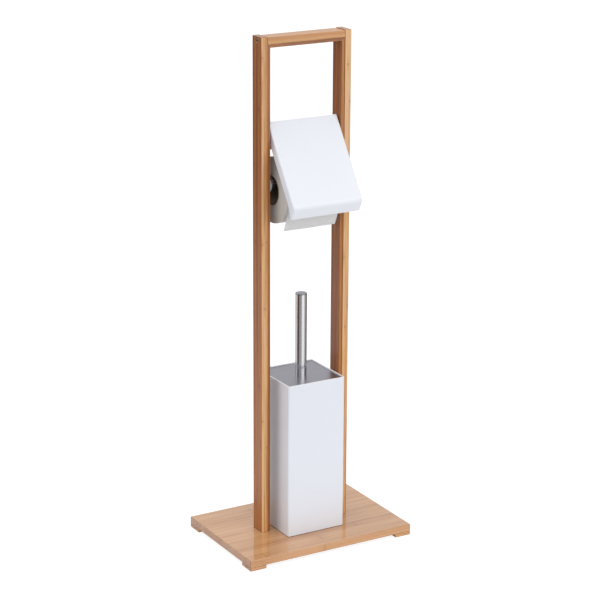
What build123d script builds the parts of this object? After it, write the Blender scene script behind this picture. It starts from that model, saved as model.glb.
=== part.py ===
"""Free-standing toilet roll and brush stand, in mm.

A portal frame of bamboo laths stands on a low bamboo board. A telescopic
spindle hangs the paper roll between the posts, a folded metal cover swings
over it, and a square canister below holds the toilet brush.

Origin: the middle of the stand's footprint, on the floor. +Z is up, +X is
to the right seen from the front, and the front faces -Y.
"""

import os
from math import atan, cos, degrees, radians, sin

from build123d import *

os.makedirs("parts", exist_ok=True)

# Driving dimensions. The roll sets the scale: household rolls are 90 to
# 100 mm wide on a core of about 43 mm, and the rest was measured against it.
board_width = 290.0
board_depth = 200.0
board_thickness = 12.0
foot_size = 28.0
foot_height = 5.6
frame_width = 154.8
frame_depth = 27.0
post_length = 784.0
lath_thickness = 10.7
liner_thickness = 5.4
liner_setback = 1.4
rail_height = 10.3
rail_drop = 1.0

roll_width = 90.0
roll_radius = 51.1
core_inner_radius = 21.5
core_wall = 1.2
roll_shift_x = -8.0
spindle_radius = 12.0
spindle_height = 557.8

cover_width = 120.0
cover_sheet = 1.2
cover_tilt = radians(34.0)
cover_top_y = -2.3
cover_top_height = 654.4
cover_flange = 13.0
cover_bend = 2.5

canister_size = 100.0
canister_height = 249.0
canister_wall = 2.2
lid_depth_below_rim = 1.5
lid_thickness = 2.0
handle_radius = 9.0
handle_length = 132.0
hub_length = 92.0

# Clearances and easings.
eased = 0.7
hang_gap = 0.3
running_fit = 0.05
pin_fit = 0.08
lid_gap = 0.4
shoulder_gap = 0.4
stop_gap = 0.3
screw_clearance = 0.2
brush_gap = 2.9
cup_gap = 0.5

# Levels and planes that the pieces share.
# Heights of the roll, the cover and the bar are given above the board.
board_top = foot_height + board_thickness
spindle_z = board_top + spindle_height
cover_top_z = board_top + cover_top_height
post_top = board_top + post_length
rail_top = post_top - rail_drop
rail_bottom = rail_top - rail_height
liner_top = rail_bottom - liner_thickness
frame_half = frame_width / 2
lath_inside = frame_half - lath_thickness
liner_inside = lath_inside - liner_thickness
frame_front = -frame_depth / 2
frame_back = frame_depth / 2
liner_front = frame_front + liner_setback
liner_depth = frame_back - liner_front
liner_middle_y = (frame_back + liner_front) / 2
post_middle_x = lath_inside + lath_thickness / 2
sides = (-1, 1)


# Base
# Each post stands on the board and is pulled down by two screws that come
# up through it. The board's underside is countersunk for their heads.
base_screw_radius = 1.75
base_screw_length = 44.0
base_screw_pitch = 13.0
screw_head_radius = 3.5
screw_head_height = 2.4
foot_screw_radius = 1.5
foot_screw_length = 13.0
foot_recess = 1.6
board_eased = 1.0

with BuildPart() as base_board:
    with Locations((0, 0, foot_height + board_thickness / 2)):
        Box(board_width, board_depth, board_thickness)
    fillet(base_board.edges(), radius=board_eased)
    with Locations(Plane.XY.offset(foot_height)):
        with Locations(
            *[(s * post_middle_x, t * base_screw_pitch / 2) for s in sides for t in sides]
        ):
            Cylinder(
                base_screw_radius + screw_clearance,
                board_thickness,
                align=(Align.CENTER, Align.CENTER, Align.MIN),
                mode=Mode.SUBTRACT,
            )
            Cone(
                screw_head_radius + screw_clearance,
                base_screw_radius + screw_clearance,
                screw_head_height,
                align=(Align.CENTER, Align.CENTER, Align.MIN),
                mode=Mode.SUBTRACT,
            )
    foot_x = board_width / 2 - foot_size / 2
    foot_y = board_depth / 2 - foot_size / 2
    with Locations(Plane.XY.offset(foot_height)):
        with Locations(*[(s * foot_x, t * foot_y) for s in sides for t in sides]):
            Cylinder(
                foot_screw_radius,
                foot_recess + foot_screw_length - foot_height,
                align=(Align.CENTER, Align.CENTER, Align.MIN),
                mode=Mode.SUBTRACT,
            )
base_board.part.label = "base_board"
export_step(base_board.part, "parts/base_board.step")

# A foot is a square bamboo block under each corner, flush with the edges,
# with a recess that takes its screw's head off the floor.
with BuildPart() as foot:
    Box(foot_size, foot_size, foot_height, align=(Align.CENTER, Align.CENTER, Align.MIN))
    fillet(foot.edges().filter_by(Axis.Z), radius=board_eased)
    chamfer(foot.faces().sort_by(Axis.Z)[0].outer_wire().edges(), length=eased)
    Cylinder(
        foot_screw_radius + screw_clearance,
        foot_height,
        align=(Align.CENTER, Align.CENTER, Align.MIN),
        mode=Mode.SUBTRACT,
    )
    Cylinder(
        screw_head_radius + screw_clearance,
        foot_recess + screw_head_height,
        align=(Align.CENTER, Align.CENTER, Align.MIN),
        mode=Mode.SUBTRACT,
    )

foot_corners = {
    "foot_front_left": (-1, -1),
    "foot_front_right": (1, -1),
    "foot_back_left": (-1, 1),
    "foot_back_right": (1, 1),
}
for foot_name, (sx, sy) in foot_corners.items():
    with BuildPart() as corner_foot:
        with Locations((sx * foot_x, sy * foot_y, 0)):
            add(foot.part)
    corner_foot.part.label = foot_name
    export_step(corner_foot.part, f"parts/{foot_name}.step")


# A wood screw is a head and a plain shank with a short point. Every screw
# here is this one solid of revolution, drawn standing on its head.
def screw_solid(shank_radius, length, head_radius, head_height, taper):
    """Screw along +Z with its head's flat at z = 0 and its point at z = length.

    taper is the head's radius where it meets the shank: the shank's own
    radius makes it countersunk, the head's makes it a cheese head.
    """
    profile = [(0, 0), (head_radius, 0), (taper, head_height)]
    if taper > shank_radius:
        profile.append((shank_radius, head_height))
    profile.append((shank_radius, length - 2.5 * shank_radius))
    profile.append((0, length))
    with BuildPart() as screw:
        with BuildSketch(Plane.XZ):
            with BuildLine():
                Polyline(*profile, close=True)
            make_face()
        revolve(axis=Axis.Z)
        with BuildSketch():
            RegularPolygon(head_radius * 0.5, 6)
        extrude(amount=head_height * 0.6, mode=Mode.SUBTRACT)
    return screw.part


with BuildPart() as foot_screws:
    with Locations(*[(s * foot_x, t * foot_y, foot_recess) for s in sides for t in sides]):
        add(
            screw_solid(
                foot_screw_radius,
                foot_screw_length,
                screw_head_radius,
                screw_head_height,
                screw_head_radius,
            )
        )
foot_screws.part.label = "foot_screws"
export_step(foot_screws.part, "parts/foot_screws.step")

base_screw = screw_solid(
    base_screw_radius,
    base_screw_length,
    screw_head_radius,
    screw_head_height,
    base_screw_radius,
)
base_screw_spots = [
    (s * post_middle_x, t * base_screw_pitch / 2, foot_height) for s in sides for t in sides
]
with BuildPart() as base_screws:
    with Locations(*base_screw_spots):
        add(base_screw)
base_screws.part.label = "base_screws"
export_step(base_screws.part, "parts/base_screws.step")


# Frame
# The frame is laths on the outside and a thinner liner glued inside them,
# set back at the front and flush at the back, so a step runs round the
# opening. The rail butts between the posts, held by a sunk screw each end.
rail_middle_z = (rail_top + rail_bottom) / 2
rail_screw_radius = 2.0
rail_screw_length = 42.0
rail_screw_head = 3.6
rail_screw_head_height = 3.0
counterbore_radius = 4.0
counterbore_depth = 4.0

# Hinge of the cover: a pin just under its top edge, through both flanges.
hinge_along = 8.0
hinge_inward = 8.4
hinge_y = cover_top_y - hinge_along * sin(cover_tilt) + hinge_inward * cos(cover_tilt)
hinge_z = cover_top_z - hinge_along * cos(cover_tilt) - hinge_inward * sin(cover_tilt)
hinge_pin_radius = 2.3
hinge_head_radius = 3.4
hinge_head_height = 1.5
hinge_pin_reach = 69.5

# Cross bar: a flat bamboo bar behind the cover. Its front top edge is the
# stop that the cover's flanges lie against when the cover is down.
bar_front = 2.0
bar_back = 12.5
bar_bottom_height = 611.0
bar_bottom = board_top + bar_bottom_height
stop_inward = cover_flange + stop_gap
bar_top = cover_top_z - (stop_inward - (bar_front - cover_top_y) * cos(cover_tilt)) / sin(
    cover_tilt
)
bar_eased = 0.3
dowel_radius = 3.0
dowel_half = 9.0
dowel_lead = 0.5
dowel_pitch = 12.0
dowel_z = (bar_bottom + bar_top) / 2
dowel_y = (bar_front + bar_back) / 2

spindle_pin_radius = 4.0

for post_name, side in (("left_post", -1), ("right_post", 1)):
    with BuildPart() as post:
        with Locations((side * post_middle_x, 0, board_top)):
            Box(
                lath_thickness,
                frame_depth,
                post_length,
                align=(Align.CENTER, Align.CENTER, Align.MIN),
            )
        fillet(post.edges().filter_by(Axis.Z), radius=eased)
        fillet(post.edges().group_by(Axis.Z)[-1], radius=eased)
        # Holes for the two base screws, up into the end grain.
        with Locations(*[(side * post_middle_x, t * base_screw_pitch / 2, board_top) for t in sides]):
            Cylinder(
                base_screw_radius,
                base_screw_length - board_thickness,
                align=(Align.CENTER, Align.CENTER, Align.MIN),
                mode=Mode.SUBTRACT,
            )
        # Rail screw: a counterbore outside, a plain hole the rest of the way.
        with Locations(Plane.YZ.offset(side * lath_inside)):
            with Locations((0, rail_middle_z)):
                Cylinder(rail_screw_radius, 2 * lath_thickness, mode=Mode.SUBTRACT)
        with Locations(Plane.YZ.offset(side * frame_half)):
            with Locations((0, rail_middle_z)):
                Cylinder(counterbore_radius, 2 * counterbore_depth, mode=Mode.SUBTRACT)
        # Blind holes on the inner face for the hinge pin and the bar dowels.
        with Locations(Plane.YZ.offset(side * lath_inside)):
            with Locations((hinge_y, hinge_z)):
                Cylinder(
                    hinge_pin_radius,
                    2 * (hinge_pin_reach - lath_inside),
                    mode=Mode.SUBTRACT,
                )
            with Locations(*[(dowel_y, dowel_z + t * dowel_pitch / 2) for t in sides]):
                Cylinder(
                    dowel_radius,
                    2 * (dowel_half - liner_thickness),
                    mode=Mode.SUBTRACT,
                )
    post.part.label = post_name
    export_step(post.part, f"parts/{post_name}.step")

with BuildPart() as top_rail:
    with Locations((0, 0, rail_middle_z)):
        Box(2 * lath_inside, frame_depth, rail_height)
    fillet(top_rail.edges(), radius=eased)
    with Locations(Plane.YZ):
        for side in sides:
            with Locations((0, rail_middle_z, side * lath_inside)):
                Cylinder(
                    rail_screw_radius,
                    2 * (rail_screw_length - lath_thickness + counterbore_depth),
                    mode=Mode.SUBTRACT,
                )
top_rail.part.label = "top_rail"
export_step(top_rail.part, "parts/top_rail.step")

# The screw's head sits on the counterbore's floor, its point in the rail.
rail_screw = screw_solid(
    rail_screw_radius,
    rail_screw_length,
    rail_screw_head,
    rail_screw_head_height,
    rail_screw_head,
)
rail_screw_seat = frame_half - counterbore_depth + rail_screw_head_height
with BuildPart() as rail_screws:
    for side in sides:
        head_plane = Plane(
            origin=(side * rail_screw_seat, 0, rail_middle_z),
            x_dir=(0, 1, 0),
            z_dir=(-side, 0, 0),
        )
        with Locations(head_plane):
            add(rail_screw)
rail_screws.part.label = "rail_screws"
export_step(rail_screws.part, "parts/rail_screws.step")

# Liners: cut from one flat strip and mitred at the top corners.
for liner_name, side in (("left_liner", -1), ("right_liner", 1)):
    with BuildPart() as side_liner:
        with BuildSketch(Plane.XZ.offset(-frame_back)):
            with BuildLine():
                Polyline(
                    (side * lath_inside, board_top),
                    (side * liner_inside, board_top),
                    (side * liner_inside, liner_top),
                    (side * lath_inside, rail_bottom),
                    close=True,
                )
            make_face()
        extrude(amount=liner_depth)
        inner_face = side_liner.faces().sort_by(Axis.X)[0 if side > 0 else -1]
        fillet(inner_face.edges().filter_by(Axis.Z), radius=eased)
        with Locations(Plane.YZ.offset(side * lath_inside)):
            with Locations((hinge_y, hinge_z)):
                Cylinder(hinge_pin_radius, 3 * liner_thickness, mode=Mode.SUBTRACT)
            with Locations((0, spindle_z)):
                Cylinder(spindle_pin_radius + pin_fit, 3 * liner_thickness, mode=Mode.SUBTRACT)
            with Locations(*[(dowel_y, dowel_z + t * dowel_pitch / 2) for t in sides]):
                Cylinder(dowel_radius, 3 * liner_thickness, mode=Mode.SUBTRACT)
    side_liner.part.label = liner_name
    export_step(side_liner.part, f"parts/{liner_name}.step")

with BuildPart() as top_liner:
    with BuildSketch(Plane.XZ.offset(-frame_back)):
        with BuildLine():
            Polyline(
                (-lath_inside, rail_bottom),
                (-liner_inside, liner_top),
                (liner_inside, liner_top),
                (lath_inside, rail_bottom),
                close=True,
            )
        make_face()
    extrude(amount=liner_depth)
    under_face = top_liner.faces().sort_by(Axis.Z)[0]
    fillet(under_face.edges().filter_by(Axis.X), radius=eased)
top_liner.part.label = "top_liner"
export_step(top_liner.part, "parts/top_liner.step")

with BuildPart() as cross_bar:
    with Locations((0, dowel_y, dowel_z)):
        Box(2 * liner_inside, bar_back - bar_front, bar_top - bar_bottom)
    fillet(cross_bar.edges().filter_by(Axis.X), radius=bar_eased)
    for side in sides:
        with Locations(Plane.YZ.offset(side * liner_inside)):
            with Locations(*[(dowel_y, dowel_z + t * dowel_pitch / 2) for t in sides]):
                Cylinder(dowel_radius, 2 * dowel_half, mode=Mode.SUBTRACT)
cross_bar.part.label = "cross_bar"
export_step(cross_bar.part, "parts/cross_bar.step")

with BuildPart() as bar_dowels:
    for side in sides:
        with Locations(Plane.YZ.offset(side * liner_inside)):
            with Locations(*[(dowel_y, dowel_z + t * dowel_pitch / 2) for t in sides]):
                Cylinder(dowel_radius, 2 * dowel_half)
    dowel_ends = bar_dowels.edges().filter_by(GeomType.CIRCLE)
    chamfer(dowel_ends, length=dowel_lead)
bar_dowels.part.label = "bar_dowels"
export_step(bar_dowels.part, "parts/bar_dowels.step")


# Cover
# One sheet, folded as a shallow tray: a flat panel, a flange down each side,
# and a lower end that curls in under the roll. The hardest feature: the
# inside is the outside offset by the sheet, in the profile and in the bends.
# Drawn in the tray's own side plane: x runs down the panel, y runs inward.
panel_length = 134.6
curl_radius = 10.0
curl_turn = radians(60.0)
lip_length = 14.8
flange_run_out = 8.0
cut_beyond = 30.0
half_cover = cover_width / 2


def cover_side_plane(half_width):
    """Side plane of the tray, from which its solids are extruded across."""
    return Plane(
        origin=(-half_width, cover_top_y, cover_top_z),
        x_dir=(0, -sin(cover_tilt), -cos(cover_tilt)),
        z_dir=(1, 0, 0),
    )


def lower_edge(offset):
    """Points of the curl and lip, moved inward from the outside by offset.

    Gives the curl's start, its middle, its end and the lip's end.
    """
    r = curl_radius - offset
    points = []
    for turn in (0.0, curl_turn / 2, curl_turn):
        points.append((panel_length + r * sin(turn), curl_radius - r * cos(turn)))
    end_x, end_y = points[-1]
    points.append((end_x + lip_length * cos(curl_turn), end_y + lip_length * sin(curl_turn)))
    return points


with BuildPart() as cover_outside:
    with BuildSketch(cover_side_plane(half_cover)):
        start, middle, end, tip = lower_edge(0.0)
        pivot_arc = cover_flange - hinge_inward
        with BuildLine():
            Line((0, 0), start)
            ThreePointArc(start, middle, end)
            Line(end, tip)
            Line(tip, (panel_length - flange_run_out, cover_flange))
            Line((panel_length - flange_run_out, cover_flange), (hinge_along, cover_flange))
            RadiusArc(
                (hinge_along, cover_flange),
                (hinge_along - pivot_arc, hinge_inward),
                -pivot_arc,
            )
            Line((hinge_along - pivot_arc, hinge_inward), (0, cover_sheet))
            Line((0, cover_sheet), (0, 0))
        make_face()
    extrude(amount=cover_width)

with BuildPart() as cover_inside:
    half_inside = half_cover - cover_sheet
    with BuildSketch(cover_side_plane(half_inside)):
        start, middle, end, tip = lower_edge(cover_sheet)
        past_lip = cut_beyond / 8
        tip = (tip[0] + past_lip * cos(curl_turn), tip[1] + past_lip * sin(curl_turn))
        beyond = (tip[0] - cut_beyond, tip[1] + cut_beyond)
        with BuildLine():
            Line((-cut_beyond, cover_sheet), start)
            ThreePointArc(start, middle, end)
            Line(end, tip)
            Line(tip, beyond)
            Line(beyond, (-cut_beyond, beyond[1]))
            Line((-cut_beyond, beyond[1]), (-cut_beyond, cover_sheet))
        make_face()
    extrude(amount=2 * half_inside)


def front_side_edges(solid, half_width):
    """The two long outside edges of a tray solid, the ones that get bent."""
    panel_normal = Vector(0, -cos(cover_tilt), sin(cover_tilt))
    lip_normal = Vector(
        0,
        -cos(cover_tilt) * cos(curl_turn) - sin(cover_tilt) * sin(curl_turn),
        sin(cover_tilt) * cos(curl_turn) - cos(cover_tilt) * sin(curl_turn),
    )
    skins = [
        face
        for face in solid.faces()
        if face.geom_type == GeomType.CYLINDER and face.radius > curl_radius - 2 * cover_sheet
        or face.geom_type == GeomType.PLANE
        and (
            (face.normal_at() - panel_normal).length < 0.01
            or (face.normal_at() - lip_normal).length < 0.01
        )
    ]
    picked = ShapeList()
    for face in skins:
        for edge in face.edges():
            middle = edge @ 0.5
            if abs(abs(middle.X) - half_width) < 0.01:
                picked.append(edge)
    return picked


with BuildPart() as cover:
    add(cover_outside.part)
    fillet(front_side_edges(cover.part, half_cover), radius=cover_bend)
with BuildPart() as cover_hollow:
    add(cover_inside.part)
    fillet(front_side_edges(cover_hollow.part, half_inside), radius=cover_bend - cover_sheet)
with BuildPart() as cover_tray:
    add(cover.part)
    add(cover_hollow.part, mode=Mode.SUBTRACT)
    with Locations(Plane.YZ):
        with Locations((hinge_y, hinge_z)):
            Cylinder(hinge_pin_radius + running_fit, 2 * cover_width, mode=Mode.SUBTRACT)
cover_tray.part.label = "cover"
export_step(cover_tray.part, "parts/cover.step")

# Round-headed pins go from inside the flanges into the posts, with a nylon
# washer between each flange and its liner.
washer_gap = 0.1
with BuildPart() as hinge_pins:
    for side in sides:
        head_start = half_cover - cover_sheet - washer_gap - hinge_head_height
        pin_plane = Plane(
            origin=(side * head_start, hinge_y, hinge_z),
            x_dir=(0, 1, 0),
            z_dir=(side, 0, 0),
        )
        with Locations(pin_plane):
            Cylinder(
                hinge_head_radius,
                hinge_head_height,
                align=(Align.CENTER, Align.CENTER, Align.MIN),
            )
            Cylinder(
                hinge_pin_radius,
                hinge_pin_reach - head_start,
                align=(Align.CENTER, Align.CENTER, Align.MIN),
            )
    head_rims = hinge_pins.edges().filter_by(
        lambda e: e.geom_type == GeomType.CIRCLE
        and e.radius > hinge_head_radius - 0.1
        and abs(abs(e.center().X) - head_start) < 0.01
    )
    chamfer(head_rims, length=hinge_head_height / 2)
hinge_pins.part.label = "hinge_pins"
export_step(hinge_pins.part, "parts/hinge_pins.step")

washer_thickness = liner_inside - half_cover - washer_gap
with BuildPart() as hinge_washers:
    for side in sides:
        washer_middle = side * (liner_inside - washer_thickness / 2)
        with Locations(Plane.YZ.offset(washer_middle)):
            with Locations((hinge_y, hinge_z)):
                Cylinder(hinge_head_radius, washer_thickness)
                Cylinder(
                    hinge_pin_radius,
                    washer_thickness,
                    mode=Mode.SUBTRACT,
                )
hinge_washers.part.label = "hinge_washers"
export_step(hinge_washers.part, "parts/hinge_washers.step")


# Spindle
# Two tubes, one running in the other, with a spring between them. Each end
# is a moulded plug whose pin sits in a hole of the liner. Squeezing the
# spindle by more than the pin's length takes it out.
tube_wall = 1.0
shoulder = liner_inside - shoulder_gap
end_flange = 2.0
end_plug = 9.0
pin_length = 5.6
sleeve_mouth = 8.0
plunger_start = -14.0
seat_length = 7.0
seat_recess = 2.0
seat_wall = 1.2
seat_hole = 3.0
plug_lead = 0.6
flange_eased = 0.4
pin_lead = 0.8
sleeve_bore = spindle_radius - tube_wall
plunger_radius = sleeve_bore - running_fit
plunger_bore = plunger_radius - tube_wall
tube_end = shoulder - end_flange
along_x = Plane(origin=(0, 0, spindle_z), x_dir=(0, 1, 0), z_dir=(1, 0, 0))


def tube_along_x(x_from, x_to, outer, inner):
    """Tube on the spindle's axis between two places along X."""
    with BuildPart() as tube:
        with BuildSketch(along_x.offset(x_from)):
            Circle(outer)
            Circle(inner, mode=Mode.SUBTRACT)
        extrude(amount=x_to - x_from)
    return tube.part


def end_plug_solid(flange_radius, plug_radius):
    """Moulded end: flange, plug that fills the tube's end, and a round pin."""
    with BuildPart() as plug:
        with BuildSketch(Plane.XY):
            with BuildLine():
                Polyline(
                    (0, 0),
                    (plug_radius - plug_lead, 0),
                    (plug_radius, plug_lead),
                    (plug_radius, end_plug),
                    (flange_radius, end_plug),
                    (flange_radius, end_plug + end_flange - flange_eased),
                    (flange_radius - flange_eased, end_plug + end_flange),
                    (spindle_pin_radius, end_plug + end_flange),
                    (spindle_pin_radius, end_plug + end_flange + pin_length - pin_lead),
                    (spindle_pin_radius - pin_lead, end_plug + end_flange + pin_length),
                    (0, end_plug + end_flange + pin_length),
                    close=True,
                )
            make_face()
        revolve(axis=Axis.Y)
    return plug.part


def end_plane(side):
    """Plane at a plug's inner end whose Y axis runs outward along X."""
    return Plane(
        origin=(side * (tube_end - end_plug), 0, spindle_z),
        x_dir=(0, 0, 1),
        z_dir=(0, side, 0),
    )


with BuildPart() as spindle_sleeve:
    add(tube_along_x(-tube_end, sleeve_mouth, spindle_radius, sleeve_bore))
    mouth = spindle_sleeve.faces().sort_by(Axis.X)[-1].outer_wire().edges()
    chamfer(mouth, length=flange_eased)
spindle_sleeve.part.label = "spindle_sleeve"
export_step(spindle_sleeve.part, "parts/spindle_sleeve.step")

with BuildPart() as spindle_end_left:
    with Locations(end_plane(-1)):
        add(end_plug_solid(spindle_radius, sleeve_bore))
spindle_end_left.part.label = "spindle_end_left"
export_step(spindle_end_left.part, "parts/spindle_end_left.step")

with BuildPart() as spindle_plunger:
    add(tube_along_x(plunger_start, tube_end, plunger_radius, plunger_bore))
spindle_plunger.part.label = "spindle_plunger"
export_step(spindle_plunger.part, "parts/spindle_plunger.step")

with BuildPart() as spindle_end_right:
    with Locations(end_plane(1)):
        add(end_plug_solid(plunger_radius, plunger_bore))
spindle_end_right.part.label = "spindle_end_right"
export_step(spindle_end_right.part, "parts/spindle_end_right.step")

with BuildPart() as spring_seat:
    add(tube_along_x(plunger_start, plunger_start + seat_length, plunger_bore, seat_hole))
    with BuildSketch(along_x.offset(plunger_start)):
        Circle(plunger_bore - seat_wall)
    extrude(amount=seat_recess, mode=Mode.SUBTRACT)
spring_seat.part.label = "spring_seat"
export_step(spring_seat.part, "parts/spring_seat.step")

# The spring is one wire wound along the sleeve between the left plug and
# the plunger's seat.
spring_wire = 0.5
spring_radius = 7.6
spring_turns = 8
spring_end_gap = 0.1
spring_start = -(tube_end - end_plug) + spring_wire + spring_end_gap
spring_end = plunger_start + seat_recess - spring_wire - spring_end_gap
spring_length = spring_end - spring_start
with BuildPart() as spindle_spring:
    with BuildLine() as coil:
        Helix(
            pitch=spring_length / spring_turns,
            height=spring_length,
            radius=spring_radius,
            center=(spring_start, 0, spindle_z),
            direction=(1, 0, 0),
        )
    with BuildSketch(Plane(origin=coil.line @ 0, z_dir=coil.line % 0)):
        RegularPolygon(spring_wire, 4)
    sweep(path=coil.line, is_frenet=True)
spindle_spring.part.label = "spindle_spring"
export_step(spindle_spring.part, "parts/spindle_spring.step")
spring_gap = spring_length / spring_turns - 2 * spring_wire
print(f"spring turns {spring_turns}, gap between turns {spring_gap:.2f} mm")


# Paper
# The roll hangs on the spindle by the top of its core, so its own axis is
# below the spindle's by the difference of the two radii.
roll_z = spindle_z - (core_inner_radius - spindle_radius) + hang_gap
core_outer_radius = core_inner_radius + core_wall
roll_left = roll_shift_x - roll_width / 2
roll_plane = Plane(origin=(roll_left, 0, roll_z), x_dir=(0, 1, 0), z_dir=(1, 0, 0))

with BuildPart() as roll_core:
    with BuildSketch(roll_plane):
        Circle(core_outer_radius)
        Circle(core_inner_radius, mode=Mode.SUBTRACT)
    extrude(amount=roll_width)
roll_core.part.label = "roll_core"
export_step(roll_core.part, "parts/roll_core.step")

with BuildPart() as paper_roll:
    with BuildSketch(roll_plane):
        Circle(roll_radius)
        Circle(core_outer_radius, mode=Mode.SUBTRACT)
    extrude(amount=roll_width)
    rims = paper_roll.edges().filter_by(
        lambda e: e.geom_type == GeomType.CIRCLE and e.radius > roll_radius - 0.1
    )
    chamfer(rims, length=eased)
paper_roll.part.label = "paper_roll"
export_step(paper_roll.part, "parts/paper_roll.step")

# The loose end leaves the front of the roll and hangs, still curled by the
# winding, so its foot turns back. Side view: x is the world's Y, y is its Z.
tail_gap = 0.3
tail_thickness = 0.4
tail_inner = roll_radius + tail_gap
tail_wrap = radians(24.0)
tail_straight = 2.0
tail_turn_back = 15.2
tail_hang = 55.6
tail_lean = 0.4
tail_straight_to = roll_z - tail_straight
tail_foot = (tail_turn_back - tail_inner, roll_z - tail_hang)
with BuildPart() as paper_tail:
    with BuildSketch(Plane(origin=(roll_left, 0, 0), x_dir=(0, 1, 0), z_dir=(1, 0, 0))):
        with BuildLine():
            for r, lean in ((tail_inner, 0.0), (tail_inner + tail_thickness, tail_thickness)):
                wrap_top = (-r * cos(tail_wrap), roll_z + r * sin(tail_wrap))
                wrap_middle = (-r * cos(tail_wrap / 2), roll_z + r * sin(tail_wrap / 2))
                ThreePointArc(wrap_top, wrap_middle, (-r, roll_z))
                Line((-r, roll_z), (-r, tail_straight_to))
                TangentArc(
                    (-r, tail_straight_to),
                    (tail_foot[0] - lean, tail_foot[1] - tail_lean * lean),
                    tangent=(0, -1),
                )
            Line(
                (-tail_inner * cos(tail_wrap), roll_z + tail_inner * sin(tail_wrap)),
                wrap_top,
            )
            Line(tail_foot, (tail_foot[0] - lean, tail_foot[1] - tail_lean * lean))
        make_face()
    extrude(amount=roll_width)
paper_tail.part.label = "paper_tail"
export_step(paper_tail.part, "parts/paper_tail.step")


# Canister and brush
# A square metal canister stands on the board between the posts. A narrow
# seat welded round the inside carries the lid just below the rim.
canister_top = board_top + canister_height
canister_inside = canister_size - 2 * canister_wall
floor_top = board_top + canister_wall
lid_top = canister_top - lid_depth_below_rim
lid_bottom = lid_top - lid_thickness
lid_size = canister_inside - 2 * lid_gap
seat_width = 2.6
canister_corner = 2.6
inside_corner = canister_corner - canister_wall
rim_eased = 0.4
seat_thickness = 1.5

with BuildPart() as canister:
    with BuildSketch(Plane.XY.offset(board_top)):
        RectangleRounded(canister_size, canister_size, canister_corner)
    extrude(amount=canister_height)
    with BuildSketch(Plane.XY.offset(floor_top)):
        RectangleRounded(canister_inside, canister_inside, inside_corner)
    extrude(amount=canister_height, mode=Mode.SUBTRACT)
    rim_edges = canister.faces().sort_by(Axis.Z)[-1].edges()
    chamfer(rim_edges, length=rim_eased)
canister.part.label = "canister"
export_step(canister.part, "parts/canister.step")

with BuildPart() as lid_seat:
    with BuildSketch(Plane.XY.offset(lid_bottom - seat_thickness)):
        RectangleRounded(canister_inside, canister_inside, inside_corner)
        Rectangle(
            canister_inside - 2 * seat_width,
            canister_inside - 2 * seat_width,
            mode=Mode.SUBTRACT,
        )
    extrude(amount=seat_thickness)
lid_seat.part.label = "lid_seat"
export_step(lid_seat.part, "parts/lid_seat.step")

# The inner cup lifts out for cleaning, so it passes the seat. It tapers
# for the mould.
cup_taper = 2.0
cup_top_size = canister_inside - 2 * seat_width - 2 * cup_gap
cup_bottom_size = cup_top_size - 2 * cup_taper
cup_height = 120.0
cup_wall = 1.8
cup_corner = 12.0
cup_draft = degrees(atan(cup_taper / cup_height))
cup_hollow = cup_bottom_size - 2 * cup_wall
with BuildPart() as inner_cup:
    with BuildSketch(Plane.XY.offset(floor_top)):
        RectangleRounded(cup_bottom_size, cup_bottom_size, cup_corner)
    extrude(amount=cup_height, taper=-cup_draft)
    with BuildSketch(Plane.XY.offset(floor_top + cup_wall)):
        RectangleRounded(cup_hollow, cup_hollow, cup_corner - cup_wall)
    extrude(amount=cup_height, taper=-cup_draft, mode=Mode.SUBTRACT)
inner_cup.part.label = "inner_cup"
export_step(inner_cup.part, "parts/inner_cup.step")

# Lid, handle, stem and brush come up as one. The stem runs from the brush
# through the lid into the handle's insert, and a nut clamps the lid.
stem_radius = 3.0
insert_length = 16.0
cap_thickness = 2.0
lid_corner = 0.6
cap_plug = 8.0
handle_wall = 1.0
handle_bore = handle_radius - handle_wall
handle_top = lid_top + handle_length
nut_across = 10.0
nut_height = 5.0
hub_radius = 7.0
hub_lift = 8.0
hub_taper = 12.0
hub_lead = 1.0
hub_collar = 1.6
hub_bottom = floor_top + cup_wall + hub_lift
hub_top = hub_bottom + hub_length
insert_spare = 2.0
stem_lead = 0.6
stem_in_hub = 24.0

with BuildPart() as lid:
    with BuildSketch(Plane.XY.offset(lid_bottom)):
        RectangleRounded(lid_size, lid_size, lid_corner)
        Circle(stem_radius, mode=Mode.SUBTRACT)
    extrude(amount=lid_thickness)
    lid_rim = lid.faces().sort_by(Axis.Z)[-1].outer_wire().edges()
    chamfer(lid_rim, length=rim_eased)
lid.part.label = "lid"
export_step(lid.part, "parts/lid.step")

with BuildPart() as handle_tube:
    with BuildSketch(Plane.XY.offset(lid_top)):
        Circle(handle_radius)
        Circle(handle_bore, mode=Mode.SUBTRACT)
    extrude(amount=handle_length - cap_thickness)
handle_tube.part.label = "handle_tube"
export_step(handle_tube.part, "parts/handle_tube.step")

with BuildPart() as handle_cap:
    with BuildSketch(Plane.XY.offset(handle_top - cap_thickness)):
        Circle(handle_radius)
    extrude(amount=cap_thickness)
    chamfer(handle_cap.faces().sort_by(Axis.Z)[-1].edges(), length=rim_eased)
    with BuildSketch(Plane.XY.offset(handle_top - cap_thickness)):
        Circle(handle_bore)
    extrude(amount=-cap_plug)
handle_cap.part.label = "handle_cap"
export_step(handle_cap.part, "parts/handle_cap.step")

with BuildPart() as handle_insert:
    with BuildSketch(Plane.XY.offset(lid_top)):
        Circle(handle_bore)
        Circle(stem_radius, mode=Mode.SUBTRACT)
    extrude(amount=insert_length)
handle_insert.part.label = "handle_insert"
export_step(handle_insert.part, "parts/handle_insert.step")

stem_top = lid_top + insert_length - insert_spare
stem_bottom = hub_top - stem_in_hub
with BuildPart() as brush_stem:
    with BuildSketch(Plane.XY.offset(stem_bottom)):
        Circle(stem_radius)
    extrude(amount=stem_top - stem_bottom)
    chamfer(brush_stem.faces().sort_by(Axis.Z)[-1].edges(), length=stem_lead)
brush_stem.part.label = "brush_stem"
export_step(brush_stem.part, "parts/brush_stem.step")

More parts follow.
